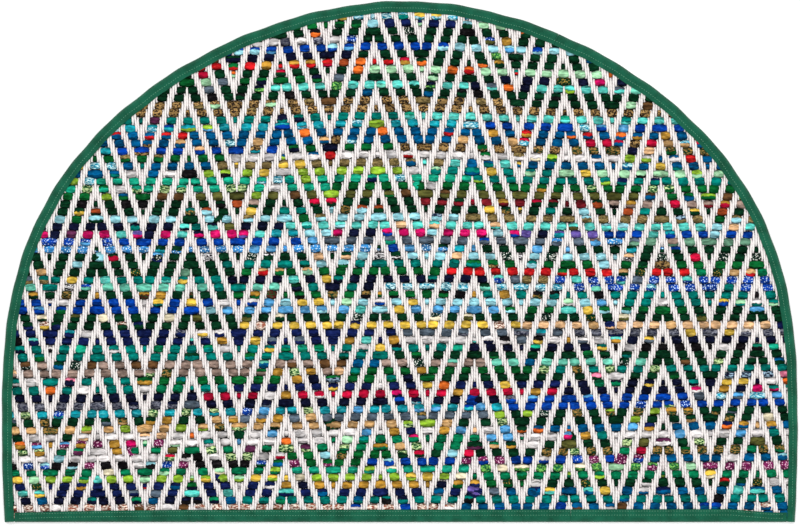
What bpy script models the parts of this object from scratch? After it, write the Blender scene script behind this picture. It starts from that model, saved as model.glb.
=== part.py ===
# A half-round chindi rug: rag weft woven in ribs on cotton warp, its edge bound with bias tape.
# Metres, +Z up. X runs along the straight edge, +Y towards the top of the arch, the floor is z = 0.

import math

import bmesh
import bpy
import numpy as np

MM = 0.001

# Outline of the rug, as it was cut and bound
ARCH_RISE = 490.2 * MM           # from the widest line to the top of the arch
WIDEST_LINE = 107.8 * MM         # height of the widest line above the straight edge
REACH_LEFT = 463.3 * MM          # from the top of the arch sideways to the widest point
REACH_RIGHT = 450.1 * MM
FULLNESS_SIDE = 2.65             # exponent of the arch at the widest line, fuller than an ellipse
FULLNESS_TOP = 1.97              # and at its top
CORNER_DRAW_IN = 3.2 * MM        # how far each corner stands in from the widest point
WOBBLE = ((87.0 * MM, 0.4 * MM, 0.4), (41.0 * MM, 0.3 * MM, 1.3))   # wave length, height, start

# Thickness
RUG_THICKNESS = 8.0 * MM         # over the crests of the ribs
BINDING_THICKNESS = 7.6 * MM     # over the folded tape
TAPE = 1.0 * MM                  # one wall of the folded tape, two plies of cotton
GAP = 0.3 * MM                   # between pieces
RIBBED_GAP = 0.7 * MM            # between the ribbed cloth and the tape, whose inner edges bend unalike

# Ribs: one for each pick of rags
PICK_PITCH = 8.6 * MM
RIB_CREST_TOP = 3.6 * MM         # flat of a rib's crest on the face
RIB_CREST_UNDER = 5.6 * MM       # and on the underside, pressed flat by the floor
RIB_DEPTH_TOP = 1.3 * MM
RIB_DEPTH_UNDER = 0.7 * MM

# The weave's cut edge, flattened inside the folded tape
CUT_EDGE_THICKNESS = 5.0 * MM
CUT_EDGE_INSET = 4.2 * MM        # clear of the fold's round inside

# Width of the folded tape along the arch: share of its length from the left corner, width
ARCH_TAPE_WIDTH = (
    (0.00, 11.5 * MM),
    (0.12, 12.4 * MM),
    (0.35, 13.6 * MM),
    (0.50, 12.9 * MM),
    (0.62, 14.2 * MM),
    (0.80, 12.6 * MM),
    (0.92, 11.4 * MM),
    (1.00, 9.4 * MM),
)
# and along the straight edge: X, width
STRAIGHT_TAPE_WIDTH = (
    (-440 * MM, 11.0 * MM),
    (-390 * MM, 12.4 * MM),
    (-260 * MM, 14.2 * MM),
    (380 * MM, 15.0 * MM),
    (425 * MM, 11.2 * MM),
)
ARCH_SEAM = 0.608                # share of the arch's length where its two lengths of tape meet
STRAIGHT_SEAM = 196 * MM         # X where the two lengths on the straight edge meet

ARCH_STATIONS = 125
STRAIGHT_STATION_PITCH = 40 * MM
FOLD_STEPS = 4                   # steps round the fold of the tape


def arch_half_width(rise):
    """Share of the reach that the arch keeps at a share of its rise."""
    fullness = FULLNESS_SIDE + (FULLNESS_TOP - FULLNESS_SIDE) * rise
    return np.maximum(1 - rise ** fullness, 0) ** (1 / fullness)


def arch_line():
    """Fine points of the smooth curved edge, from the left corner over the top to the right corner."""
    leg = np.linspace(1, 0, 60)[:-1]
    turn = np.linspace(0, math.pi, 1201)
    rise = np.sin(turn)
    reach = np.where(turn < math.pi / 2, -REACH_LEFT, REACH_RIGHT)
    across = np.concatenate([
        -REACH_LEFT + CORNER_DRAW_IN * leg ** 2,
        reach * arch_half_width(rise),
        REACH_RIGHT - CORNER_DRAW_IN * leg[::-1] ** 2,
    ])
    up = np.concatenate([
        WIDEST_LINE * (1 - leg),
        WIDEST_LINE + ARCH_RISE * rise,
        WIDEST_LINE * (1 - leg[::-1]),
    ])
    across -= (across.min() + across.max()) / 2
    up -= (WIDEST_LINE + ARCH_RISE) / 2
    return np.column_stack([across, up])


def inward_of(points):
    """Unit directions into the rug, square to a line that runs left corner, top, right corner."""
    along = np.gradient(points, axis=0)
    along /= np.linalg.norm(along, axis=1)[:, None]
    return np.column_stack([along[:, 1], -along[:, 0]])


def arch_edge(count):
    """Evenly spaced stations of the bound edge, their inward directions and shares of the length."""
    line = arch_line()
    steps = np.linalg.norm(np.diff(line, axis=0), axis=1)
    length = np.concatenate([[0], np.cumsum(steps)])
    share = np.linspace(0, 1, count)
    at = share * length[-1]
    points = np.column_stack([np.interp(at, length, line[:, axis]) for axis in (0, 1)])
    inward = inward_of(points)
    ripple = sum(height * np.sin(2 * math.pi * at / wave + start) for wave, height, start in WOBBLE)
    ripple *= np.sin(math.pi * share) ** 0.5
    return points + inward * ripple[:, None], inward, share


def width_at(table, place):
    places, widths = zip(*table)
    return np.interp(place, places, widths)


def straight_edge_height():
    return -(WIDEST_LINE + ARCH_RISE) / 2


def inset_outline(arch_inset, straight_inset):
    """Closed outline of the rug, set in by one amount at each arch station and another at each X."""
    points, inward, share = arch_edge(ARCH_STATIONS)
    arch = points + inward * arch_inset(share)[:, None]
    floor_line = straight_edge_height() + straight_inset(arch[:, 0])
    kept = np.flatnonzero(arch[:, 1] > floor_line + MM)
    first, last = kept[0], kept[-1]
    arch = arch[first:last + 1]
    straight_x = np.linspace(arch[-1, 0], arch[0, 0], 25)
    straight = np.column_stack([straight_x, straight_edge_height() + straight_inset(straight_x)])
    return np.vstack([arch, straight])


def tape_profile(width):
    """Section of the tape folded over the edge: distance in from the edge, height."""
    middle = BINDING_THICKNESS / 2
    turns = np.linspace(-math.pi / 2, -3 * math.pi / 2, FOLD_STEPS + 1)
    outer = [(middle + middle * math.cos(turn), middle + middle * math.sin(turn)) for turn in turns]
    inner_radius = middle - TAPE
    inner = [
        (middle + inner_radius * math.cos(turn), middle + inner_radius * math.sin(turn))
        for turn in reversed(turns)
    ]
    upper = [(width, BINDING_THICKNESS), (width, BINDING_THICKNESS - TAPE)]
    lower = [(width, TAPE), (width, 0)]
    return outer + upper + inner + lower


def new_object(name, bm, material, collection):
    mesh = bpy.data.meshes.new(name)
    bm.to_mesh(mesh)
    bm.free()
    mesh.shade_smooth()
    mesh.set_sharp_from_angle(angle=math.radians(35))
    mesh.materials.append(material)
    made = bpy.data.objects.new(name, mesh)
    collection.objects.link(made)
    return made


def cloth_material(name, colour, roughness):
    material = bpy.data.materials.new(name)
    material.use_nodes = True
    shader = material.node_tree.nodes["Principled BSDF"]
    shader.inputs["Base Color"].default_value = (*colour, 1)
    shader.inputs["Roughness"].default_value = roughness
    shader.inputs["Metallic"].default_value = 0
    return material


def prism(name, outline, travel, material, collection):
    """An outline in space, extruded by a travel vector."""
    bm = bmesh.new()
    face = bm.faces.new([bm.verts.new(point) for point in outline])
    grown = bmesh.ops.extrude_face_region(bm, geom=[face])["geom"]
    moved = [item for item in grown if isinstance(item, bmesh.types.BMVert)]
    bmesh.ops.translate(bm, verts=moved, vec=travel)
    bmesh.ops.recalc_face_normals(bm, faces=bm.faces)
    return new_object(name, bm, material, collection)


def folded_tape(name, points, inward, widths, material, collection):
    """Tape folded over an edge: its section is extruded from station to station."""
    bm = bmesh.new()
    cap = None
    for point, direction, width in zip(points, inward, widths):
        section = [
            (point[0] + direction[0] * into, point[1] + direction[1] * into, height)
            for into, height in tape_profile(width)
        ]
        if cap is None:
            cap = bm.faces.new([bm.verts.new(place) for place in section])
            continue
        grown = bmesh.ops.extrude_discrete_faces(bm, faces=[cap])["faces"]
        cap = grown[0]
        for corner, place in zip(cap.verts, section):
            corner.co = place
    first_end = [edge for edge in bm.edges if edge.is_boundary]
    bmesh.ops.holes_fill(bm, edges=first_end)
    bmesh.ops.recalc_face_normals(bm, faces=bm.faces)
    return new_object(name, bm, material, collection)


def rib_profile():
    """Section of the ribbed cloth across the picks: Y, height. Face first, then underside."""
    rug_depth = WIDEST_LINE + ARCH_RISE
    count = math.ceil(rug_depth / PICK_PITCH) + 1
    centres = straight_edge_height() + PICK_PITCH * (np.arange(count) + 0.5)
    face = []
    under = []
    for centre in centres:
        face.append((centre - PICK_PITCH / 2, RUG_THICKNESS - RIB_DEPTH_TOP))
        face.append((centre - RIB_CREST_TOP / 2, RUG_THICKNESS))
        face.append((centre + RIB_CREST_TOP / 2, RUG_THICKNESS))
        under.append((centre - PICK_PITCH / 2, RIB_DEPTH_UNDER))
        under.append((centre - RIB_CREST_UNDER / 2, 0))
        under.append((centre + RIB_CREST_UNDER / 2, 0))
    return face + under[::-1]


def join(target, other, operation):
    """Boolean of one object with another, applied, and the other removed."""
    modifier = target.modifiers.new("join", "BOOLEAN")
    modifier.operation = operation
    modifier.solver = "EXACT"
    modifier.object = other
    shaped = bpy.data.meshes.new_from_object(target.evaluated_get(bpy.context.evaluated_depsgraph_get()))
    target.modifiers.remove(modifier)
    target.data = shaped
    bpy.data.objects.remove(other)


def woven_field(material, collection):
    """The woven cloth: ribbed where it shows, and flat and thinner where the tape grips it."""
    half_span = (REACH_LEFT + REACH_RIGHT) / 2
    ribbed_section = [(-half_span, across, height) for across, height in rib_profile()]
    field = prism("woven_field", ribbed_section, (2 * half_span, 0, 0), material, collection)

    shown = inset_outline(
        lambda share: width_at(ARCH_TAPE_WIDTH, share) + RIBBED_GAP,
        lambda across: width_at(STRAIGHT_TAPE_WIDTH, across) + RIBBED_GAP,
    )
    shown_section = [(across, up, -RUG_THICKNESS) for across, up in shown]
    shown_block = prism("shown_outline", shown_section, (0, 0, 3 * RUG_THICKNESS), material, collection)
    bpy.context.view_layer.update()
    join(field, shown_block, "INTERSECT")

    gripped = inset_outline(
        lambda share: np.full(share.shape, CUT_EDGE_INSET),
        lambda across: np.full(across.shape, CUT_EDGE_INSET),
    )
    cut_edge_height = (BINDING_THICKNESS - CUT_EDGE_THICKNESS) / 2
    gripped_section = [(across, up, cut_edge_height) for across, up in gripped]
    cut_edge = prism("cut_edge", gripped_section, (0, 0, CUT_EDGE_THICKNESS), material, collection)
    bpy.context.view_layer.update()
    join(field, cut_edge, "UNION")
    return field


def arch_binding(material, collection):
    """Two lengths of tape over the curved edge, meeting at a seam, down to the straight edge."""
    points, inward, share = arch_edge(ARCH_STATIONS)
    widths = width_at(ARCH_TAPE_WIDTH, share)
    seam = int(round(ARCH_SEAM * (ARCH_STATIONS - 1)))
    along = points[seam] - points[seam - 1]
    along /= np.linalg.norm(along)
    left = points[:seam + 1].copy()
    right = points[seam:].copy()
    left[-1] -= along * GAP / 2
    right[0] += along * GAP / 2
    folded_tape("binding_arch_left", left, inward[:seam + 1], widths[:seam + 1], material, collection)
    folded_tape("binding_arch_right", right, inward[seam:], widths[seam:], material, collection)


def straight_binding(material, collection):
    """Two lengths of tape over the straight edge, their ends against the inner edges of the arch's."""
    points, inward, share = arch_edge(ARCH_STATIONS)
    inner = points + inward * width_at(ARCH_TAPE_WIDTH, share)[:, None]
    corner_height = straight_edge_height() + max(width for _, width in STRAIGHT_TAPE_WIDTH)
    low = inner[inner[:, 1] < corner_height + 20 * MM]
    left_end = low[low[:, 0] < 0][:, 0].max() + GAP
    right_end = low[low[:, 0] > 0][:, 0].min() - GAP
    lengths = (
        ("binding_straight_left", left_end, STRAIGHT_SEAM - GAP / 2),
        ("binding_straight_right", STRAIGHT_SEAM + GAP / 2, right_end),
    )
    for name, start, end in lengths:
        count = math.ceil((end - start) / STRAIGHT_STATION_PITCH) + 1
        across = np.linspace(start, end, count)
        stations = np.column_stack([across, np.full(count, straight_edge_height())])
        into_rug = np.tile((0.0, 1.0), (count, 1))
        folded_tape(name, stations, into_rug, width_at(STRAIGHT_TAPE_WIDTH, across), material, collection)


for old in list(bpy.data.objects):
    bpy.data.objects.remove(old)

rug = bpy.data.collections.new("chindi_rug")
bpy.context.scene.collection.children.link(rug)
rag_cloth = cloth_material("rag_weave", (0.10, 0.28, 0.26), 0.9)
green_tape = cloth_material("green_tape", (0.012, 0.14, 0.075), 0.85)

woven_field(rag_cloth, rug)
arch_binding(green_tape, rug)
straight_binding(green_tape, rug)
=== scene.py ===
import functools
import math

import bmesh
import bpy
import mathutils
import numpy as np
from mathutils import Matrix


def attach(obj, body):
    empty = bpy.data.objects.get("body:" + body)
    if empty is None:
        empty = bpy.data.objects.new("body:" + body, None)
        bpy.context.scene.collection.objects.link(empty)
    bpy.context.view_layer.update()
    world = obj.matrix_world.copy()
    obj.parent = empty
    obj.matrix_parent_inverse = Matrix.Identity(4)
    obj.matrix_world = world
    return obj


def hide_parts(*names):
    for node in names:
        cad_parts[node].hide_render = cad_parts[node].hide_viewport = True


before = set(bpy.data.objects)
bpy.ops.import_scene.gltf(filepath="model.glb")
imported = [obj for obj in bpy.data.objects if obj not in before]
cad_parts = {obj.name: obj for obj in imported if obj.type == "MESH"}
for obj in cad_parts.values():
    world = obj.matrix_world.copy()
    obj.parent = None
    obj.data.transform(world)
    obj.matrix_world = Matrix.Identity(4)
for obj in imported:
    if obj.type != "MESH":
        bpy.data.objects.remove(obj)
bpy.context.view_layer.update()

MM = 0.001


# The cut edge of the rug
# A half-round outline, fuller than an ellipse at the sides, cut from the woven cloth before the tape
# goes on. Everything woven stops inside it, and the tapes are folded over it.

ARCH_RISE = 490.2 * MM           # from the widest line to the top of the arch
WIDEST_LINE = 107.8 * MM         # height of the widest line above the straight edge
REACH_LEFT = 463.3 * MM          # from the top of the arch sideways to the widest point
REACH_RIGHT = 450.1 * MM
FULLNESS_SIDE = 2.65             # exponent of the arch at the widest line
FULLNESS_TOP = 1.97              # and at its top
CORNER_DRAW_IN = 3.2 * MM        # how far each corner stands in from the widest point
WOBBLE = ((87.0 * MM, 0.4 * MM, 0.4), (41.0 * MM, 0.3 * MM, 1.3))   # wave length, height, start
STRAIGHT_EDGE = -(WIDEST_LINE + ARCH_RISE) / 2   # Y of the straight edge


def arch_half_width(rise):
    """Share of the reach that the arch keeps at a share of its rise."""
    fullness = FULLNESS_SIDE + (FULLNESS_TOP - FULLNESS_SIDE) * rise
    return np.maximum(1 - rise ** fullness, 0) ** (1 / fullness)


def arch_line():
    """Fine points of the smooth curved edge, from the left corner over the top to the right corner."""
    leg = np.linspace(1, 0, 60)[:-1]
    turn = np.linspace(0, math.pi, 1201)
    rise = np.sin(turn)
    reach = np.where(turn < math.pi / 2, -REACH_LEFT, REACH_RIGHT)
    across = np.concatenate([
        -REACH_LEFT + CORNER_DRAW_IN * leg ** 2,
        reach * arch_half_width(rise),
        REACH_RIGHT - CORNER_DRAW_IN * leg[::-1] ** 2,
    ])
    up = np.concatenate([
        WIDEST_LINE * (1 - leg),
        WIDEST_LINE + ARCH_RISE * rise,
        WIDEST_LINE * (1 - leg[::-1]),
    ])
    across -= (across.min() + across.max()) / 2
    return np.column_stack([across, up + STRAIGHT_EDGE])


def arch_edge(count):
    """Evenly spaced stations of the bound edge, their inward directions and shares of the length."""
    line = arch_line()
    steps = np.linalg.norm(np.diff(line, axis=0), axis=1)
    length = np.concatenate([[0], np.cumsum(steps)])
    share = np.linspace(0, 1, count)
    at = share * length[-1]
    points = np.column_stack([np.interp(at, length, line[:, axis]) for axis in (0, 1)])
    along = np.gradient(points, axis=0)
    along /= np.linalg.norm(along, axis=1)[:, None]
    inward = np.column_stack([along[:, 1], -along[:, 0]])
    ripple = sum(height * np.sin(2 * math.pi * at / wave + start) for wave, height, start in WOBBLE)
    ripple *= np.sin(math.pi * share) ** 0.5
    return points + inward * ripple[:, None], inward, share


ARCH_TAPE_WIDTH = (              # share of the arch from the left corner, width of the folded tape
    (0.00, 11.5 * MM),
    (0.12, 12.4 * MM),
    (0.35, 13.6 * MM),
    (0.50, 12.9 * MM),
    (0.62, 14.2 * MM),
    (0.80, 12.6 * MM),
    (0.92, 11.4 * MM),
    (1.00, 9.4 * MM),
)
STRAIGHT_TAPE_WIDTH = (          # X, width of the tape folded over the straight edge
    (-440 * MM, 11.0 * MM),
    (-390 * MM, 12.4 * MM),
    (-260 * MM, 14.2 * MM),
    (380 * MM, 15.0 * MM),
    (425 * MM, 11.2 * MM),
)


def width_at(table, place):
    places, widths = zip(*table)
    return np.interp(place, places, widths)


EDGE_STATIONS = 1200
edge_points, edge_inward, edge_share = arch_edge(EDGE_STATIONS)
edge_tree = mathutils.kdtree.KDTree(EDGE_STATIONS)
for index, (x, y) in enumerate(edge_points):
    edge_tree.insert((x, y, 0), index)
edge_tree.balance()


def edge_distance(points):
    """How far each point (X, Y) lies in from the cut edge, and how far in from the tape's inner edge."""
    nearest = np.array([edge_tree.find((x, y, 0))[1] for x, y in points])
    offset = points - edge_points[nearest]
    from_arch = (offset * edge_inward[nearest]).sum(axis=1)
    from_straight = points[:, 1] - STRAIGHT_EDGE
    past_tape = np.minimum(
        from_arch - width_at(ARCH_TAPE_WIDTH, edge_share[nearest]),
        from_straight - width_at(STRAIGHT_TAPE_WIDTH, points[:, 0]),
    )
    return np.minimum(from_arch, from_straight), past_tape


# The weave's plan
# A pointed twill: each end of warp floats over three rags and then under three, one rag further on
# than its neighbour, and the step turns back every 17 ends, so the floats draw V after V. Rags are
# counted down from the top of the arch, ends to both sides of the middle V's axis.

TURN = 17                        # ends from one turn of the twill to the next
RUN = 3                          # rags that an end floats over, and then under
END_PITCH = 3.18 * MM
MIDDLE_V = 32.0 * MM             # X of the middle V's axis at the straight edge
LEAN = 10.0 * MM                 # how far the warp leans to the left by the top of the arch
TOP_PICK = 274.3 * MM            # Y of rag 0
PICK_PITCH = 8.69 * MM
BOW = 8.0 * MM                   # the beat-up stands higher in the middle, most of all near the top
BOW_WIDTH = 150.0 * MM
BOW_PICKS = 26
SLANT = 0.019                    # and climbs to the right near the foot, most of all at one rag
SLANT_PICK = 53
SLANT_PICKS = 8
FIRST_PICK, LAST_PICK = -2, 65
FIRST_END, LAST_END = -156, 137


def pick_y(pick, x):
    """Y of the middle of a rag at each X."""
    bow = BOW * np.exp(-(x / BOW_WIDTH) ** 2 - (pick / BOW_PICKS) ** 2)
    slant = SLANT * x * np.exp(-((pick - SLANT_PICK) / SLANT_PICKS) ** 2)
    return TOP_PICK - pick * PICK_PITCH + bow + slant


def end_x(end, y):
    """X of an end of warp at each Y."""
    height = (y - STRAIGHT_EDGE) / (WIDEST_LINE + ARCH_RISE)
    return MIDDLE_V - LEAN * height ** 3 + end * END_PITCH


def warp_is_up(end, pick):
    """Whether an end lies over a rag, on the face."""
    from_axis = np.abs((end + TURN) % (2 * TURN) - TURN)
    return np.isin((5 - pick - from_axis) % (2 * RUN), (1, 2, 3))


ends = np.arange(FIRST_END, LAST_END + 1)
picks = np.arange(FIRST_PICK, LAST_PICK + 1)


def groups(numbers):
    """Splits rising whole numbers into runs without a gap."""
    return np.split(numbers, np.flatnonzero(np.diff(numbers) > 1) + 1)


# Strands
# Rags and warp are both round strands: a short cylinder cut into rings, whose rings are then laid
# along the strand's path and pressed to its section.

@functools.cache
def strand_blank(rings, sides):
    """A closed tube: the ring and the angle of each of its corners, and its faces."""
    bm = bmesh.new()
    bmesh.ops.create_cone(bm, cap_ends=True, segments=sides, radius1=1, radius2=1, depth=1)
    if rings > 2:
        lengthwise = [edge for edge in bm.edges if abs(edge.verts[0].co.z - edge.verts[1].co.z) > 0.5]
        bmesh.ops.subdivide_edges(bm, edges=lengthwise, cuts=rings - 2)
    places = np.array([corner.co[:] for corner in bm.verts])
    ring = np.rint((places[:, 2] + 0.5) * (rings - 1)).astype(int)
    angle = np.arctan2(places[:, 1], places[:, 0])
    bm.verts.index_update()
    faces = [[corner.index for corner in face.verts] for face in bm.faces]
    bm.free()
    return ring, angle, faces


def joined_mesh(name, parts):
    """One mesh from many (places, faces) parts."""
    places = np.concatenate([part[0] for part in parts])
    faces = []
    start = 0
    for corners, part_faces in parts:
        faces += [[index + start for index in face] for face in part_faces]
        start += len(corners)
    mesh = bpy.data.meshes.new(name)
    mesh.from_pydata(places, [], faces)
    mesh.shade_smooth()
    return mesh


def lay_out_strips(mesh, along, angle, strand):
    """The map that pictures are baked through: each strand's skin is one straight strip of it."""
    strips = strand.max() + 1
    starts = np.zeros(len(mesh.polygons), int)
    sides = np.zeros(len(mesh.polygons), int)
    corner = np.zeros(len(mesh.loops), int)
    mesh.polygons.foreach_get("loop_start", starts)
    mesh.polygons.foreach_get("loop_total", sides)
    mesh.loops.foreach_get("vertex_index", corner)
    turn = (angle[corner] / (2 * math.pi)) % 1
    wraps = np.maximum.reduceat(turn, starts) - np.minimum.reduceat(turn, starts) > 0.5
    turn += (turn < 0.5) & np.repeat(wraps, sides)
    place = (along - along.min()) / (along.max() - along.min())
    u = 0.01 + 0.98 * place[corner]
    v = 0.05 + 0.85 * turn / turn.max()
    cap = np.repeat(sides > 4, sides)
    outward = np.where(place[corner] > 0.5, 0.004, -0.004)
    u[cap] += (outward * (1 + 0.6 * np.cos(angle[corner])))[cap]
    v[cap] = (0.5 + 0.3 * np.sin(angle[corner]))[cap]
    layout = mesh.uv_layers.new(name="OFBake")
    layout.uv.foreach_set("vector", np.column_stack([u, (strand[corner] + v) / strips]).ravel())


def woven_pieces(name, strands, count, material):
    """Joins strands, each with its corners, faces, looks and the axis it runs along, to a few pieces."""
    done = np.cumsum([len(strand["places"]) for strand in strands])
    pieces = []
    for band in range(count):
        low, high = done[-1] * band / count, done[-1] * (band + 1) / count
        held = [strand for strand, end in zip(strands, done) if low < end <= high]
        mesh = joined_mesh(name, [(strand["places"], strand["faces"]) for strand in held])
        for look in held[0]["looks"]:
            values = np.concatenate([strand["looks"][look] for strand in held])
            kind, field = {
                1: ("FLOAT", "value"), 3: ("FLOAT_VECTOR", "vector"), 4: ("FLOAT_COLOR", "color"),
            }[values.size // len(values)]
            mesh.attributes.new(look, kind, "POINT").data.foreach_set(field, values.ravel())
        along = np.concatenate([strand["places"][:, strand["runs"]] for strand in held])
        angle = np.concatenate([strand["angle"] for strand in held])
        number = np.repeat(np.arange(len(held)), [len(strand["places"]) for strand in held])
        lay_out_strips(mesh, along, angle, number)
        piece = new_piece(f"{name}_{band + 1}", mesh, material)
        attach(piece, "root")
        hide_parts("woven_field")
        places = np.concatenate([strand["places"] for strand in held])
        flat = places.max(axis=0)[:2] - places.min(axis=0)[:2]
        pieces.append((piece, flat, sum(strand["area"] for strand in held)))
    return pieces


def new_piece(name, mesh, material):
    mesh.materials.append(material)
    piece = bpy.data.objects.new(name, mesh)
    bpy.context.scene.collection.objects.link(piece)
    return piece


# Rags
# Strips of jersey and printed cotton, cut from old clothes, each pick one strand of them from edge to
# edge. A rag crumples to a thick soft lump where it rises between the white floats, and is pinched
# flat where they cross it.

RAG_SIDES = 8
RAG_REACH = 4.2 * MM             # how far inside the cut edge a rag stops, clear of the tape's fold
WEAVE_MIDDLE = 4.0 * MM          # height of the middle of the cloth
RAG_LIFT = 1.35 * MM             # rise of a rag between floats, and dip under them
LUMP_HEIGHT = 5.4 * MM
PINCHED_HEIGHT = 3.4 * MM
LUMP_SPREAD = 0.86               # how far a lump spreads under the floats beside it, in ends
LONE_FLOAT_SPREAD = 0.60         # and how far beside a float that stands alone
TIP_FULLNESS = 0.72              # how full a lump is where it shows at a V's tip, in an opening of one end
LUMP_WIDTHS = (0.22, 0.92)       # half a pinched rag, and what a lump adds, as shares of half a pick
GRIPPED = 0.6                    # share of its thickness that the cloth keeps under the tape
RECOVERY = 7.0 * MM              # over which it comes back to full thickness beside the tape
GRIP_SINK = 0.2 * MM             # how far the gripped cloth's middle lies below the free cloth's


def gripped(past_tape):
    """Share of its thickness that the weave keeps, from its distance in from the tape."""
    free = np.clip(past_tape / RECOVERY, 0, 1)
    return GRIPPED + (1 - GRIPPED) * free * free * (3 - 2 * free)


CLOTHS = {                       # ground, figure, kind of figure; colours as a dyer's 0 to 255
    "bottle": ((4, 50, 28), (20, 80, 46), "marl"),
    "forest": ((6, 94, 42), (24, 122, 58), "marl"),
    "emerald": ((4, 116, 74), (14, 160, 110), "marl"),
    "jade": ((20, 165, 130), (60, 200, 165), "marl"),
    "teal": ((0, 118, 108), (20, 150, 138), "marl"),
    "turquoise": ((14, 150, 165), (90, 205, 210), "marl"),
    "petrol": ((0, 82, 130), (8, 110, 164), "marl"),
    "royal": ((2, 60, 160), (34, 102, 200), "marl"),
    "navy": ((16, 28, 78), (42, 58, 118), "marl"),
    "ink": ((12, 16, 42), (38, 46, 80), "marl"),
    "black": ((16, 14, 16), (52, 48, 50), "marl"),
    "slate": ((84, 98, 112), (120, 134, 146), "marl"),
    "sky": ((84, 165, 222), (150, 205, 238), "marl"),
    "ice": ((150, 216, 228), (196, 236, 240), "marl"),
    "aqua": ((88, 214, 200), (156, 234, 222), "marl"),
    "mint": ((170, 228, 178), (206, 242, 205), "marl"),
    "seafoam": ((118, 216, 188), (70, 170, 150), "marl"),
    "lime": ((146, 190, 50), (194, 218, 112), "marl"),
    "sun": ((232, 192, 70), (245, 218, 130), "marl"),
    "gold": ((190, 140, 50), (215, 175, 90), "marl"),
    "khaki": ((150, 128, 82), (96, 84, 50), "lines"),
    "olive": ((92, 92, 44), (60, 70, 34), "marl"),
    "taupe": ((156, 132, 120), (182, 160, 148), "marl"),
    "tan": ((205, 160, 105), (232, 200, 150), "marl"),
    "peach": ((240, 190, 140), (250, 215, 175), "marl"),
    "cream": ((234, 222, 190), (205, 190, 150), "marl"),
    "white": ((232, 226, 224), (194, 196, 204), "marl"),
    "orange": ((236, 110, 40), (250, 150, 70), "marl"),
    "rust": ((160, 70, 34), (110, 44, 26), "marl"),
    "crimson": ((196, 18, 58), (150, 12, 40), "marl"),
    "red": ((200, 24, 32), (236, 70, 50), "marl"),
    "maroon": ((120, 26, 36), (150, 40, 48), "marl"),
    "magenta": ((206, 14, 96), (230, 60, 130), "marl"),
    "pink": ((226, 120, 150), (244, 170, 190), "marl"),
    "plum": ((92, 40, 74), (130, 70, 108), "marl"),
    "violet": ((104, 84, 168), (160, 150, 210), "marl"),
    "lilac": ((170, 170, 214), (205, 205, 232), "marl"),
    "brown": ((104, 72, 42), (70, 46, 28), "marl"),
    "sage": ((118, 170, 140), (84, 136, 110), "marl"),
    "leopard": ((176, 140, 86), (36, 28, 24), "spots"),
    "camo": ((14, 62, 38), (150, 116, 60), "lines"),
    "ember": ((96, 30, 30), (38, 74, 40), "lines"),
    "parrot": ((30, 112, 62), (120, 184, 86), "spots"),
    "aquatint": ((96, 206, 200), (16, 66, 84), "spots"),
    "surf": ((20, 150, 180), (190, 228, 232), "lines"),
    "confetti": ((14, 66, 168), (190, 216, 244), "dots"),
    "skydots": ((60, 140, 205), (220, 238, 248), "dots"),
    "pepper": ((16, 44, 34), (220, 224, 214), "dots"),
    "plumdots": ((120, 34, 84), (240, 190, 214), "dots"),
    "goldspeck": ((14, 58, 32), (158, 130, 58), "dots"),
    "zebra": ((30, 28, 34), (226, 224, 224), "lines"),
    "rustline": ((150, 82, 62), (232, 216, 200), "lines"),
    "inklines": ((26, 32, 62), (150, 180, 200), "lines"),
    "fern": ((20, 84, 44), (190, 214, 150), "lines"),
    "marbled": ((120, 122, 134), (40, 42, 60), "lines"),
}

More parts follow.
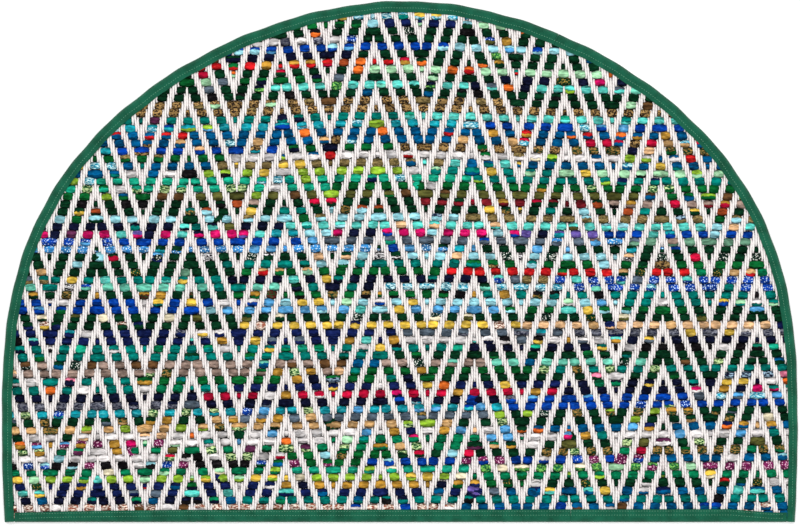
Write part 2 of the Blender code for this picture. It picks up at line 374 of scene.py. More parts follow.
# The stripes, a line for each rag from the top down. Before the bar are the cloths that the weaver laid
# in long lengths, from left to right; after it are the scraps joined in between them here and there.
STRIPES = (
    "royal |",
    "royal teal | sky",
    "teal surf turquoise | royal sun lime sky",
    "forest navy bottle | teal ice lime mint cream",
    "bottle | pepper forest orange black",
    "royal white bottle ice | gold olive confetti marbled forest",
    "sky royal ice |",
    "ink bottle petrol | brown peach black parrot mint orange",
    "emerald red bottle forest | gold orange crimson rust",
    "bottle mint | crimson red teal orange",
    "forest bottle ink | goldspeck mint slate magenta",
    "bottle aqua seafoam | lime orange slate parrot ink",
    "bottle | petrol black",
    "leopard bottle | brown khaki mint",
    "leopard | khaki gold",
    "teal aqua | ink jade plum",
    "turquoise royal | surf sky lime",
    "petrol | orange red gold",
    "petrol petrol crimson | surf leopard tan",
    "royal forest leopard camo | crimson peach turquoise ink",
    "forest white petrol | red lime khaki cream",
    "petrol khaki petrol | teal aqua surf sun",
    "petrol lime teal mint | black zebra white sun",
    "jade teal | navy lime surf",
    "jade forest | white fern gold",
    "forest olive forest | brown petrol lime",
    "bottle bottle maroon taupe | crimson gold rust black",
    "bottle | ice camo teal sun rust",
    "ice ice khaki | bottle inklines forest",
    "ink aqua aqua | teal ice peach olive",
    "magenta turquoise magenta violet royal | ink aqua plum ice",
    "confetti royal slate taupe sage | sky skydots jade",
    "skydots bottle | royal turquoise sky",
    "bottle ice bottle | zebra peach pepper crimson",
    "bottle teal forest | ice leopard",
    "bottle forest red emerald | tan goldspeck sage",
    "teal ink khaki confetti | sun slate aqua",
    "seafoam ink surf confetti | teal bottle zebra",
    "bottle forest teal | ember camo gold black",
    "royal ice teal | sky white sun mint",
    "royal sky forest bottle | aqua ice sun",
    "bottle | goldspeck pepper cream olive",
    "bottle sun peach | navy tan rustline",
    "navy navy slate marbled | turquoise sun white",
    "navy white ink | aqua gold slate black sun",
    "teal teal ink black | emerald jade sun white",
    "teal bottle | forest",
    "taupe taupe seafoam bottle | brown fern pepper petrol",
    "taupe forest teal | gold camo peach fern",
    "teal forest bottle inklines | white gold pink ink",
    "teal navy ink | sun orange emerald white",
    "ink crimson ink | white magenta teal gold",
    "marbled ink royal surf | white slate sky",
    "turquoise royal | fern sky confetti",
    "bottle slate bottle | lime camo pepper gold tan",
    "tan bottle | cream fern camo lime",
    "white petrol | tan gold orange peach sky navy bottle",
    "plumdots white emerald white | magenta gold sky orange teal mint",
    "emerald bottle | white plum olive gold tan fern",
    "white forest bottle camo | black emerald crimson fern ice",
    "black forest royal petrol | white ice confetti plumdots",
    "emerald jade parrot plumdots | lime mint cream",
    "lime lime emerald | cream mint sun forest",
    "navy gold forest bottle | white petrol ink red goldspeck",
    "navy navy petrol | white slate aqua sun",
    "ink teal teal | petrol black emerald",
    "rustline petrol | white brown royal",
    "rustline petrol |",
)
SCRAP_SHARE = 0.055              # how often a lump is a scrap, for each kind of scrap in its stripe
FOLDED_SHARE = 0.24              # how often a lump is folded, and shows a second cloth of its stripe
JOIN_SPREAD = 0.12               # how unevenly the long lengths are cut, as a share of the rug's width


def lump_cloths(pick, share):
    """The upper and lower cloth of each lump of a rag, from its share of the way across the rug."""
    draw = np.random.default_rng(500 + pick)
    lengths, scraps = (part.split() for part in STRIPES[pick - FIRST_PICK].split("|"))
    joins = np.arange(1, len(lengths)) / len(lengths) + draw.uniform(-1, 1, len(lengths) - 1) * JOIN_SPREAD
    cloths = [lengths[part] for part in np.searchsorted(np.sort(joins), share)]
    pairs = []
    for cloth, chance, fold in zip(cloths, draw.random(len(cloths)), draw.random(len(cloths))):
        if chance < SCRAP_SHARE * len(scraps):
            cloth = str(draw.choice(scraps))
        other = str(draw.choice(lengths + scraps))
        upper_first = bool(draw.random() < 0.5)
        pair = (cloth, other) if fold < FOLDED_SHARE else (cloth, cloth)
        pairs.append(pair if upper_first else pair[::-1])
    return pairs


def to_light(colour):
    """A 0 to 255 display colour as the renderer's linear light."""
    share = np.array(colour, float) / 255
    return np.where(share <= 0.04045, share / 12.92, ((share + 0.055) / 1.055) ** 2.4)


cloth_names = list(CLOTHS)
grounds = np.array([to_light(CLOTHS[name][0]) for name in cloth_names])
figures = np.array([to_light(CLOTHS[name][1]) for name in cloth_names])
FIGURE_KINDS = ("spots", "dots", "lines")
kinds = np.array([[float(CLOTHS[name][2] == kind) for kind in FIGURE_KINDS] for name in cloth_names])


def cloth_looks(pairs, lump, fullness, ring, aside, draw):
    """The looks at each corner of a strand, from the two cloths and the lump at each of its rings."""
    pair = np.array([[cloth_names.index(name) for name in both] for both in pairs])
    folded = pair[:, 0] != pair[:, 1]
    lumps = lump.max() + 1
    fold = np.where(folded, draw.uniform(-0.35, 0.35, lumps)[lump], draw.uniform(-1.6, 1.6, lumps)[lump])
    shade = draw.uniform(0.72, 1.08, lumps)[lump]
    # Painted shade: on a lump of a single cloth, the part below its fold line (-Y) is a darker copy of that
    # cloth, 0.6 to 0.9 as bright; the factor on the line above is each lump's random tone. Both multiply the
    # cloth's colour below.
    lower_painted_shade = np.where(folded, shade, shade * draw.uniform(0.6, 0.9, lumps)[lump])
    looks = {"aside": aside}
    for face, cloth, light in (("upper", pair[:, 0], shade), ("lower", pair[:, 1], lower_painted_shade)):
        looks[face] = np.column_stack([grounds[cloth] * light[:, None], fold])[ring]
        looks[f"{face}_figure"] = np.column_stack([figures[cloth], fullness])[ring]
        looks[f"{face}_kind"] = kinds[cloth][ring]
    return looks


def rag(pick):
    """One rag of the weave: its corners and faces, and the cloth at each corner. None if it has no room."""
    draw = np.random.default_rng(100 + pick)
    halves = np.arange(2 * ends[0], 2 * ends[-1] + 1)
    place = halves / 2
    y = pick_y(pick, place * END_PITCH)
    for _ in range(3):
        x = end_x(place, y)
        y = pick_y(pick, x)
    pitch = (pick_y(pick - 1, x) - pick_y(pick + 1, x)) / 2
    inside, past_tape = edge_distance(np.column_stack([x, y + pitch / 2]))
    kept = np.flatnonzero(inside > RAG_REACH)
    if len(kept) < 8:
        return None
    kept = np.arange(kept[0], kept[-1] + 1)

    runs = groups(ends[~warp_is_up(ends, pick)])
    middles = np.array([run.mean() for run in runs])
    lump = np.searchsorted((middles[1:] + middles[:-1]) / 2, place)
    floats = np.array([after[0] - run[-1] - 1 for run, after in zip(runs, runs[1:])])
    spread = np.where(np.concatenate([[RUN], floats, [RUN]]) > 1, LUMP_SPREAD, LONE_FLOAT_SPREAD)
    widths = np.array([len(run) for run in runs])
    spread = np.minimum([spread[:-1], spread[1:]], np.where(widths > 1, LUMP_SPREAD, LONE_FLOAT_SPREAD))
    reach = widths / 2 + spread
    squareness = draw.uniform(1.6, 2.3, len(runs))
    share_out = np.abs(place - middles[lump]) / reach[(place > middles[lump]).astype(int), lump]
    fullness = np.sqrt(np.maximum(1 - share_out ** squareness[lump], 0))
    fullness *= np.where(widths > 1, 1, TIP_FULLNESS)[lump]
    rise = 2 * fullness ** 0.7 - 1
    swell = 1 + draw.uniform(-0.16, 0.14, len(runs))[lump] * fullness
    sway = draw.uniform(-0.5, 0.5, len(runs))[lump] * fullness * MM

    half_width = pitch / 2 * (LUMP_WIDTHS[0] + LUMP_WIDTHS[1] * fullness) * swell
    half_height = (PINCHED_HEIGHT + (LUMP_HEIGHT - PINCHED_HEIGHT) * fullness) / 2 * swell
    x, y, rise, past_tape, lump = x[kept], (y + sway)[kept], rise[kept], past_tape[kept], lump[kept]
    half_width, half_height, fullness = half_width[kept], half_height[kept], fullness[kept]

    ring, angle, faces = strand_blank(len(kept), RAG_SIDES)
    aside, above = np.cos(angle), np.sin(angle)
    crumple = 1 + draw.uniform(-0.07, 0.07, len(ring))
    across = np.maximum(y[ring] + half_width[ring] * aside * crumple, STRAIGHT_EDGE + RAG_REACH / 2)
    heights = RAG_LIFT * rise[ring] + half_height[ring] * above * crumple
    held = gripped(edge_distance(np.column_stack([x[ring], across]))[1])
    heights = WEAVE_MIDDLE + heights * held - GRIP_SINK * (1 - held)

    cloths = lump_cloths(pick, (middles * END_PITCH + REACH_LEFT) / (REACH_LEFT + REACH_RIGHT))
    return {
        "places": np.column_stack([x[ring], across, heights]),
        "faces": faces,
        "looks": cloth_looks([cloths[part] for part in lump], lump, fullness, ring, aside, draw),
        "angle": angle,
        "runs": 0,
        "area": float(np.sum(np.diff(x) * pitch[kept][1:])),
    }


# Puffs and knots that stand out of the weave, by rag: X, cloth, length and width, turn in degrees
PUFFS = {
    26: ((-208 * MM, "bottle", 14 * MM, 11 * MM, 20),),
    22: ((21 * MM, "jade", 10 * MM, 15 * MM, 75),),
    31: ((-344 * MM, "ice", 15 * MM, 13 * MM, 10), (-278 * MM, "sky/navy", 15 * MM, 14 * MM, -15)),
    50: ((83 * MM, "royal", 17 * MM, 15 * MM, 5),),
    53: ((-78 * MM, "bottle", 17 * MM, 19 * MM, 30),),
    55: ((198 * MM, "bottle", 16 * MM, 10 * MM, 0),),
    56: ((-307 * MM, "plumdots", 14 * MM, 15 * MM, 10),),
    58: ((253 * MM, "plumdots", 18 * MM, 15 * MM, 5),),
    60: ((-207 * MM, "navy/ink", 15 * MM, 11 * MM, -20), (-346 * MM, "aqua", 13 * MM, 10 * MM, 5)),
    62: ((84 * MM, "violet/navy", 18 * MM, 17 * MM, -25), (157 * MM, "navy/petrol", 16 * MM, 14 * MM, 30)),
}
PUFF_RINGS = 9
PUFF_HEIGHT = 4.4 * MM
PUFF_LIFT = 1.6 * MM


def puff(pick, middle_x, cloth, length, width, turn):
    """A bunched bit of rag: one more strand, short and fat, on the face of the weave."""
    draw = np.random.default_rng(int(abs(middle_x) / MM))
    middle = np.array([middle_x, pick_y(pick, middle_x)])
    forward = np.array([math.cos(math.radians(turn)), math.sin(math.radians(turn))])
    side = np.array([-forward[1], forward[0]])
    along = np.linspace(-1, 1, PUFF_RINGS)
    fullness = np.sqrt(1 - 0.96 * along ** 2)
    ring, angle, faces = strand_blank(PUFF_RINGS, RAG_SIDES)
    size = fullness[ring] * (1 + draw.uniform(-0.12, 0.12, len(ring)))
    plan = middle + np.outer(along[ring] * length / 2, forward)
    plan += np.outer(np.cos(angle) * size * width / 2, side)
    heights = WEAVE_MIDDLE + PUFF_LIFT + np.sin(angle) * size * PUFF_HEIGHT / 2
    pairs = [(cloth.split("/") * 2)[:2]] * PUFF_RINGS
    lump = np.zeros(PUFF_RINGS, int)
    return {
        "places": np.column_stack([plan, heights]),
        "faces": faces,
        "looks": cloth_looks(pairs, lump, np.ones(PUFF_RINGS), ring, np.cos(angle), draw),
        "angle": angle,
        "runs": 0,
        "area": 0.0,
    }


class Value:
    """A number or colour that changes over a surface. Arithmetic on a number adds its Math nodes."""

    def __init__(self, finish, socket):
        self.finish = finish
        self.socket = socket

    def maths(self, operation, *terms):
        return self.finish.node("ShaderNodeMath", dict(enumerate(terms)), operation=operation)

    def __add__(self, other):
        return self.maths("ADD", self, other)

    def __sub__(self, other):
        return self.maths("SUBTRACT", self, other)

    def __rsub__(self, other):
        return self.maths("SUBTRACT", other, self)

    def __mul__(self, other):
        return self.maths("MULTIPLY", self, other)

    __radd__ = __add__
    __rmul__ = __mul__

    def sine(self):
        return self.maths("SINE", self)

    def step(self, start, end):
        """0 at start and 1 at end, smooth between."""
        inputs = {0: self, 1: start, 2: end}
        return self.finish.node("ShaderNodeMapRange", inputs, interpolation_type="SMOOTHSTEP")


class Finish:
    """The finish of one kind of cloth or thread, as a material."""

    def __init__(self, name, roughness, sheen):
        self.material = bpy.data.materials.new(name)
        self.material.use_nodes = True
        self.tree = self.material.node_tree
        self.shader = self.tree.nodes["Principled BSDF"]
        self.shader.inputs["Roughness"].default_value = roughness
        self.shader.inputs["Specular IOR Level"].default_value = 0.04
        self.shader.inputs["Sheen Weight"].default_value = sheen

    def node(self, kind, inputs=(), output=0, **settings):
        made = self.tree.nodes.new(kind)
        for name, value in settings.items():
            setattr(made, name, value)
        for key, value in dict(inputs).items():
            if isinstance(value, Value):
                self.tree.links.new(value.socket, made.inputs[key])
            else:
                made.inputs[key].default_value = value
        return Value(self, made.outputs[output])

    def attribute(self, name, output="Color"):
        return self.node("ShaderNodeAttribute", output=output, attribute_name=name)

    def place(self, stretch=(1, 1, 1)):
        """Object coordinates, shrunk by a factor on each axis."""
        here = self.node("ShaderNodeTexCoord", output="Object")
        return self.node("ShaderNodeMapping", {"Vector": here, "Scale": stretch}, vector_type="POINT")

    def noise(self, scale, stretch=(1, 1, 1), detail=2.0):
        """Soft noise of 0 to 1, its grains 1 / scale metres across."""
        inputs = {"Vector": self.place(stretch), "Scale": scale, "Detail": detail}
        return self.node("ShaderNodeTexNoise", inputs)

    def mix(self, share, first, second):
        inputs = {0: share, 6: first, 7: second}
        return self.node("ShaderNodeMix", inputs, output=2, data_type="RGBA")

    def scaled(self, colour, amount):
        """A colour made lighter or darker by a number."""
        inputs = {0: colour, 3: amount}
        return self.node("ShaderNodeVectorMath", inputs, operation="SCALE")

    def finish(self, colour, height, depth):
        """Puts a colour and a relief, of a depth in metres, on the shader."""
        bump = self.node("ShaderNodeBump", {"Height": height, "Distance": depth, "Strength": 1.0})
        self.tree.links.new(colour.socket, self.shader.inputs["Base Color"])
        self.tree.links.new(bump.socket, self.shader.inputs["Normal"])
        return self.material


def rag_finish():
    """Jersey and printed cotton: the cloths, figures and fold relief of each rag, with creases; in its
    colour, painted shade and highlight from its fold noise, and painted shade at its creases, on its lower
    side, at both its edges and at the thin ends of its lumps.
    """
    cloth = Finish("rag_cloth", roughness=0.9, sheen=0.0)
    waver = cloth.noise(260, detail=3) * 1.1 - 0.55
    aside = cloth.attribute("aside", "Fac") + waver
    fold = cloth.attribute("upper", "Alpha")
    above = (aside - fold).step(-0.07, 0.07)
    # Where a lump's two faces meet: a dip in the relief, and painted shade darkening the colour there.
    crease_dip_and_shade = 1 - above.maths("ABSOLUTE", aside - fold).step(0.0, 0.16)

    spots = cloth.noise(430, (1, 1.3, 1), detail=2).step(0.48, 0.55)
    cells = cloth.node("ShaderNodeTexVoronoi", {"Vector": cloth.place(), "Scale": 480.0}, output="Distance")
    dots = 1 - cells.step(0.28, 0.4)
    lines = cloth.noise(620, (0.5, 1.3, 1), detail=1).step(0.46, 0.56)
    marl = cloth.noise(420, (0.5, 1, 1), detail=3).step(0.45, 0.8) * 0.5

    def printed(face):
        shares = cloth.attribute(f"{face}_kind", "Vector")
        of_kind = cloth.node("ShaderNodeSeparateXYZ", {0: shares})
        split = of_kind.socket.node.outputs
        spotted, dotted, lined = (Value(cloth, split[axis]) for axis in range(3))
        plain = 1 - spotted - dotted - lined
        figure = spots * spotted + dots * dotted + lines * lined + marl * plain
        return cloth.mix(figure, cloth.attribute(face), cloth.attribute(f"{face}_figure"))

    # The fold noise shapes the rag's relief and also lightens and darkens its colour: painted shade and
    # painted highlight.
    fold_relief_and_painted_light = cloth.noise(240, (0.45, 1.2, 1), detail=4)
    colour = cloth.mix(above, printed("lower"), printed("upper"))
    # Painted shade: each rag's colour is darker on its lower (-Y) side, away from the top softbox.
    across = cloth.attribute("aside", "Fac")
    shade = fold_relief_and_painted_light.step(0.3, 0.7) * 0.8 + 0.5 - crease_dip_and_shade * 0.25 - across.step(0.1, -0.95) * 0.2
    # Painted shade: the colour darkens towards both edges of each rag, where it tucks against its neighbours.
    sides = across.maths("ABSOLUTE", across).step(0.5, 1.0)
    # Painted shade: the colour darkens where a lump thins out at its ends (its fullness, kept in the alpha of
    # upper_figure).
    painted_shade_at_thin_ends = cloth.attribute("upper_figure", "Alpha").step(0.75, 0.3)
    colour = cloth.scaled(colour, shade - sides * 0.45 - painted_shade_at_thin_ends * 0.34)
    grain = cloth.noise(1500, detail=1)
    return cloth.finish(colour, fold_relief_and_painted_light * 1.0 + grain * 0.1 - crease_dip_and_shade * 0.45, 1.6 * MM)


RAG_PIECES = 3
rags = []
for pick in picks:
    made = rag(pick)
    if made:
        rags.append(made)
    rags += [puff(pick, *place) for place in PUFFS.get(int(pick), ())]
rag_pieces = woven_pieces("rags", rags, RAG_PIECES, rag_finish())


# Warp
# White cotton string, nearly 300 ends of it. Each floats over three rags and dives under the next three, and
# is pressed a little flat by the rags it holds down.

END_SIDES = 6
GATHERED = 0.15                  # share by which the floats beside each other draw together
END_WIDTH = 2.75 * MM
END_THICKNESS = 1.7 * MM
END_OVER = 2.7 * MM              # height of a float's middle above the cloth's middle
END_DIVING = 0.88                # share of that height over the first and last rag of a float
TWIST_PITCH = 4.2 * MM


to_group_middle = {
    (end, pick): group.mean() - end
    for pick in picks for group in groups(ends[warp_is_up(ends, pick)]) for end in group
}


def warp_end(end):
    """One end of warp: corners, faces and twist. None if it has no room."""
    draw = np.random.default_rng(900 + int(end))
    at_picks = pick_y(picks, end * END_PITCH)
    at_picks = pick_y(picks, end_x(end, at_picks))
    up = np.where([bool(warp_is_up(end, pick)) for pick in picks], 1.0, -1.0)
    turned = np.flatnonzero(up[1:] != up[:-1])
    up[np.concatenate([turned, turned + 1])] *= END_DIVING
    shift = np.array([to_group_middle.get((end, pick), 0) for pick in picks]) * GATHERED * END_PITCH
    stations = [(at_picks[0], up[0])]
    for index in range(1, len(picks)):
        if up[index] * up[index - 1] < 0:
            stations.append(((at_picks[index] + at_picks[index - 1]) / 2, 0.0))
        stations.append((at_picks[index], up[index]))
    y, lift = np.array(stations).T
    x = end_x(end, y) + np.interp(-y, -at_picks, shift) + draw.normal(0, 0.12, len(y)) * MM
    inside, past_tape = edge_distance(np.column_stack([x, y]))
    kept = np.flatnonzero(inside > RAG_REACH)
    if len(kept) < 4:
        return None
    kept = np.arange(kept[0], kept[-1] + 1)
    x, y, lift, past_tape = x[kept], y[kept], lift[kept], past_tape[kept]
    thick = np.where(lift == 0, 0.8, 1.0)
    ring, angle, faces = strand_blank(len(kept), END_SIDES)
    aside, above = np.cos(angle), np.sin(angle)
    press = gripped(past_tape)[ring]
    width = END_WIDTH / 2 * draw.uniform(0.94, 1.05, len(kept))[ring] * thick[ring]
    lift = lift * draw.uniform(0.93, 1.05, len(lift))
    heights = END_OVER * lift[ring] + END_THICKNESS / 2 * above
    heights = WEAVE_MIDDLE + heights * press - GRIP_SINK * (1 - press)
    places = np.column_stack([x[ring] + width * aside, y[ring], heights])
    twist = draw.uniform(0, 1) + np.abs(y[ring] - y[0]) / TWIST_PITCH + angle / (2 * math.pi)
    area = float(abs(y[-1] - y[0]) * END_WIDTH)
    return {
        "places": places,
        "faces": faces,
        "looks": {"twist": twist},
        "angle": angle,
        "runs": 1,
        "area": area,
    }


def string_finish():
    """Bleached cotton string, two plies twisted and a little fluffy, with painted shade greying the hollows
    of its twist.
    """
    string = Finish("warp_string", roughness=0.85, sheen=0.1)
    turns = string.attribute("twist", "Fac")
    ply_relief_and_shade = (turns * (2 * math.pi)).sine() * 0.5 + 0.5
    fluff = string.noise(1400, detail=2)
    shade = string.noise(90, (1, 0.3, 1), detail=2)
    pale, deep = (*to_light((230, 226, 223)), 1), (*to_light((196, 178, 180)), 1)
    # Painted shade: the twist that grooves the relief also greys the colour in its hollows; the fluff and the
    # long noise (named shade) are random tone along the string.
    colour = string.mix((ply_relief_and_shade * 0.15 + fluff * 0.6 + shade * 0.3).step(0.2, 0.62), deep, pale)
    return string.finish(colour, ply_relief_and_shade * 0.35 + fluff * 0.4, 0.3 * MM)


WARP_PIECES = 2
warp = [made for made in (warp_end(end) for end in ends) if made]
warp_pieces = [made[0] for made in woven_pieces("warp", warp, WARP_PIECES, string_finish())]


# Binding tapes
# Green cotton tape, its raw edges turned in, folded over the cut edge of the weave: two lengths over the
# arch that meet at a seam, and two along the straight edge that stop against the arch's tape.

TAPE_TOP = 7.6 * MM              # height of the folded tape
TAPE_WALL = 1.0 * MM             # two plies, the tape and its turned-in edge
TAPE_GAP = 0.3 * MM
ARCH_SEAM = 0.608                # share of the arch where its two lengths meet
STRAIGHT_SEAM = 196 * MM         # X where the two lengths on the straight edge meet
TAPE_STEP = 2.9 * MM
ARCH_STITCH_INSET = 5.0 * MM     # from the tape's inner edge to its line of stitches
STRAIGHT_STITCH_INSETS = (2.0 * MM, 6.6 * MM)
STITCH_DENT = 0.35 * MM
PUCKERS = ((23 * MM, 0.16 * MM, 0.3), (14.5 * MM, 0.12 * MM, 2.1), (9.2 * MM, 0.08 * MM, 4.0))


def puckers(along):
    return sum(height * np.sin(2 * math.pi * along / wave + start) for wave, height, start in PUCKERS)


def tape_top(into, width, along, stitch_insets):
    """Height of the tape's upper face: sunk along its stitches, puckered between them."""
    height = TAPE_TOP - 0.25 * MM + 0.6 * puckers(along)
    for inset in stitch_insets:
        height -= STITCH_DENT * np.exp(-((into - (width - inset)) / (1.1 * MM)) ** 2)
    return height


def tape_section(width, along, stitch_insets):
    """Points round the tape's section: distance in from the edge, height."""
    middle = TAPE_TOP / 2
    inner_radius = middle - TAPE_WALL
    nose = np.linspace(-math.pi / 2, -3 * math.pi / 2, 7)
    lining = nose[::-2]
    points = [
        (middle + middle * math.cos(turn), middle + (middle - 0.1 * MM) * math.sin(turn))
        for turn in nose
    ]
    for inset in (*stitch_insets[::-1], 0.6 * MM):
        points.append((width - inset, tape_top(width - inset, width, along, stitch_insets)))
    edge = width + 0.25 * puckers(along * 1.3)
    points.append((edge, TAPE_TOP - 0.55 * MM))
    points.append((edge - 0.1 * MM, TAPE_TOP - TAPE_WALL))
    points.append((width * 0.6, TAPE_TOP - TAPE_WALL))
    points += [
        (middle + inner_radius * math.cos(turn), middle + inner_radius * math.sin(turn))
        for turn in lining
    ]
    points.append((width * 0.6, TAPE_WALL))
    points.append((edge - 0.1 * MM, TAPE_WALL))
    points.append((edge, 0.4 * MM))
    points.append((edge - 0.5 * MM, 0.05 * MM))
    points += [(width - inset, STITCH_DENT) for inset in stitch_insets]
    points.append((middle * 1.2, 0.0))
    return np.array(points)


def tape(name, points, inward, widths, along, stitch_insets):
    """One length of tape, its section laid along the edge."""
    sections = np.array([
        tape_section(width, place, stitch_insets) for width, place in zip(widths, along)
    ])
    sides = sections.shape[1]
    ring, angle, faces = strand_blank(len(points), sides)
    corner = np.rint(angle / (2 * math.pi) * sides).astype(int) % sides
    into, height = sections[ring, corner].T
    places = np.column_stack([points[ring] + inward[ring] * into[:, None], height])
    mesh = joined_mesh(name, [(places, faces)])
    bm = bmesh.new()
    bm.from_mesh(mesh)
    bmesh.ops.recalc_face_normals(bm, faces=bm.faces)
    bm.to_mesh(mesh)
    bm.free()
    mesh.shade_smooth()
    mesh.set_sharp_from_angle(angle=math.radians(60))
    mesh.attributes.new("along", "FLOAT", "POINT").data.foreach_set("value", along[ring])
    mesh.attributes.new("into", "FLOAT", "POINT").data.foreach_set("value", into)
    mesh.attributes.new("from_hem", "FLOAT", "POINT").data.foreach_set("value", widths[ring] - into)
    piece = new_piece(name.replace("binding", "tape"), mesh, tape_material)
    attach(piece, "root")
    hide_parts(name)


def tape_finish():
    """Green plain-weave cotton, its colour darker in the dips of its crumpled and woven relief and paler on
    its crests: painted shade and highlight.
    """
    cotton = Finish("green_tape", roughness=0.82, sheen=0.15)
    along, into = cotton.attribute("along", "Fac"), cotton.attribute("into", "Fac")
    threads = (along * (2 * math.pi / (0.75 * MM))).sine() * (into * (2 * math.pi / (0.75 * MM))).sine()
    slubs = cotton.noise(700, detail=3)
    crumple = cotton.noise(75, detail=3)
    deep, pale = (*to_light((8, 72, 50)), 1), (*to_light((22, 104, 77)), 1)
    # Painted shade and highlight: the crumple and thread noise that raise the relief also set the colour,
    # darker in its dips and paler on its crests.
    tone_and_painted_shade = crumple * 0.75 + slubs * 0.35 + threads * 0.05
    colour = cotton.mix(tone_and_painted_shade.step(0.25, 0.85), deep, pale)
    return cotton.finish(colour, threads * 0.25 + slubs * 0.3 + crumple * 1.2, 0.6 * MM)


tape_material = tape_finish()
arch_length = float(np.linalg.norm(np.diff(arch_line(), axis=0), axis=1).sum())
arch_count = int(arch_length / TAPE_STEP)
points, inward, share = arch_edge(arch_count)
seam = int(round(ARCH_SEAM * (arch_count - 1)))
seam_step = (points[seam] - points[seam - 1]) / np.linalg.norm(points[seam] - points[seam - 1]) * TAPE_GAP / 2
for name, part, shift in (("left", slice(0, seam + 1), -1), ("right", slice(seam, arch_count), 1)):
    laid = points[part].copy()
    laid[-1 if shift < 0 else 0] += seam_step * shift
    widths = width_at(ARCH_TAPE_WIDTH, share[part])
    along = share[part] * arch_length
    tape(f"binding_arch_{name}", laid, inward[part], widths, along, (ARCH_STITCH_INSET,))

inner_edge = points + inward * width_at(ARCH_TAPE_WIDTH, share)[:, None]
low = inner_edge[inner_edge[:, 1] < STRAIGHT_EDGE + 35 * MM]
straight_start = low[low[:, 0] < 0][:, 0].max() + TAPE_GAP
straight_end = low[low[:, 0] > 0][:, 0].min() - TAPE_GAP
straight_lengths = (
    ("left", straight_start, STRAIGHT_SEAM - TAPE_GAP / 2),
    ("right", STRAIGHT_SEAM + TAPE_GAP / 2, straight_end),
)
for name, start, end in straight_lengths:
    across = np.linspace(start, end, int((end - start) / TAPE_STEP))
    laid = np.column_stack([across, np.full(len(across), STRAIGHT_EDGE)])
    into_rug = np.tile((0.0, 1.0), (len(across), 1))
    widths = width_at(STRAIGHT_TAPE_WIDTH, across)
    tape(f"binding_straight_{name}", laid, into_rug, widths, across, STRAIGHT_STITCH_INSETS)


# Sewing
# Running stitches in fine pale green thread, one line round the arch and two along the straight edge,
# through both walls of the tape and the weave between them.

STITCH_PITCH = 3.1 * MM
STITCH_LENGTH = 2.1 * MM
THREAD = 0.34 * MM


def stitch_line(route, inset_route, widths, along, inset, stitch_insets):
    """Stitches on the tape's upper face, and as many on the lower."""
    places = route + inset_route * (widths - inset)[:, None]
    steps = np.linalg.norm(np.diff(places, axis=0), axis=1)
    length = np.concatenate([[0], np.cumsum(steps)])
    ring, angle, faces = strand_blank(4, 5)
    thickness = np.array((0.35, 1.0, 1.0, 0.35))[ring] * THREAD / 2
    arch = np.array((-0.25, 0.12, 0.12, -0.25)) * MM
    made = []
    for start in np.arange(STITCH_PITCH, length[-1] - STITCH_PITCH, STITCH_PITCH):
        at = start + STITCH_LENGTH * np.linspace(0, 1, 4)
        line = np.column_stack([np.interp(at, length, places[:, axis]) for axis in (0, 1)])
        width, run = np.interp(start, length, widths), np.interp(at, length, along)
        top = tape_top(width - inset, width, run, stitch_insets) + arch
        forward = line[-1] - line[0]
        side = np.array([-forward[1], forward[0]]) / np.linalg.norm(forward)
        for heights in (top, STITCH_DENT - arch):
            made.append((np.column_stack([
                line[ring] + side * (np.cos(angle) * thickness)[:, None],
                heights[ring] + np.sin(angle) * thickness,
            ]), faces))
    return made


def thread_finish():
    """Mercerised sewing cotton, with the lie of its twist."""
    thread = Finish("sewing_thread", roughness=0.6, sheen=0.1)
    fibre = thread.noise(1800, detail=1)
    colour = thread.mix(fibre, (*to_light((92, 160, 128)), 1), (*to_light((150, 200, 172)), 1))
    return thread.finish(colour, fibre, 0.1 * MM)


thread_material = thread_finish()
arch_widths = width_at(ARCH_TAPE_WIDTH, share)
clear = slice(5, arch_count - 5)
sewn = stitch_line(
    points[clear], inward[clear], arch_widths[clear], share[clear] * arch_length,
    ARCH_STITCH_INSET, (ARCH_STITCH_INSET,),
)
across = np.linspace(straight_start + 2 * MM, straight_end - 2 * MM, 200)
laid = np.column_stack([across, np.full(len(across), STRAIGHT_EDGE)])
into_rug = np.tile((0.0, 1.0), (len(across), 1))
for inset in STRAIGHT_STITCH_INSETS:
    widths = width_at(STRAIGHT_TAPE_WIDTH, across)
    sewn += stitch_line(laid, into_rug, widths, across, inset, STRAIGHT_STITCH_INSETS)
stitches = new_piece("stitches", joined_mesh("stitches", sewn), thread_material)
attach(stitches, "root")


# Floor, lights and camera
# The rug lies on a plain white floor under broad soft light, seen from straight above.

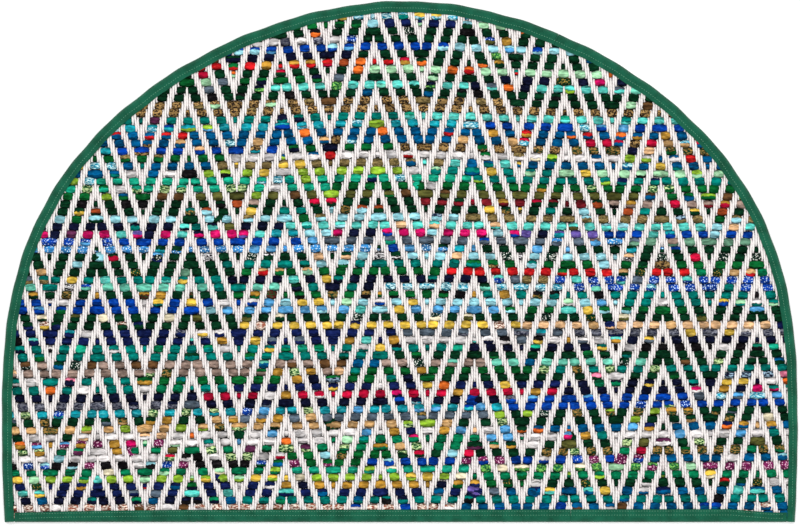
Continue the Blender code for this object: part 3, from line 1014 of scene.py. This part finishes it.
FLOOR_SIZE = 6.0
LIGHT_HEIGHT = 2.4
CAMERA_HEIGHT = 3.2
FRAME_WIDTH = 917.4 * MM        # what the picture takes in, from side to side
AIM = (0.3 * MM, -1.1 * MM)     # the point of the rug straight below the camera
SENSOR = 36.0
WEAVE_TOP = 7.0 * MM

bm = bmesh.new()
bmesh.ops.create_grid(bm, x_segments=1, y_segments=1, size=FLOOR_SIZE / 2)
floor_mesh = bpy.data.meshes.new("floor")
bm.to_mesh(floor_mesh)
bm.free()
floor_paint = Finish("floor_paint", roughness=0.9, sheen=0.0)
mottle = floor_paint.noise(6)
near_white, white = (*to_light((250, 250, 250)), 1), (*to_light((255, 255, 255)), 1)
floor_material = floor_paint.finish(floor_paint.mix(mottle, near_white, white), mottle, 0.01 * MM)
floor = new_piece("floor", floor_mesh, floor_material)


def soft_light(name, place, size, power):
    """A square area light that faces the middle of the rug."""
    lamp = bpy.data.lights.new(name, "AREA")
    lamp.shape = "SQUARE"
    lamp.size = size
    lamp.energy = power
    light = bpy.data.objects.new(name, lamp)
    bpy.context.scene.collection.objects.link(light)
    light.location = place
    light.rotation_euler = (-mathutils.Vector(place)).to_track_quat("-Z", "Y").to_euler()


soft_light("softbox_top", (-0.5, 0.9, LIGHT_HEIGHT), 2.2, 52)
soft_light("softbox_side", (1.3, -0.9, LIGHT_HEIGHT * 0.8), 1.6, 18)

world = bpy.data.worlds.new("studio")
world.use_nodes = True
world.node_tree.nodes["Background"].inputs["Color"].default_value = (1, 1, 1, 1)
world.node_tree.nodes["Background"].inputs["Strength"].default_value = 0.62
bpy.context.scene.world = world
bpy.context.scene.view_settings.view_transform = "Standard"

lens = bpy.data.cameras.new("camera")
lens.sensor_width = SENSOR
lens.lens = SENSOR * (CAMERA_HEIGHT - WEAVE_TOP) / FRAME_WIDTH
camera = bpy.data.objects.new("camera", lens)
bpy.context.scene.collection.objects.link(camera)
camera.location = (*AIM, CAMERA_HEIGHT)
bpy.context.scene.camera = camera
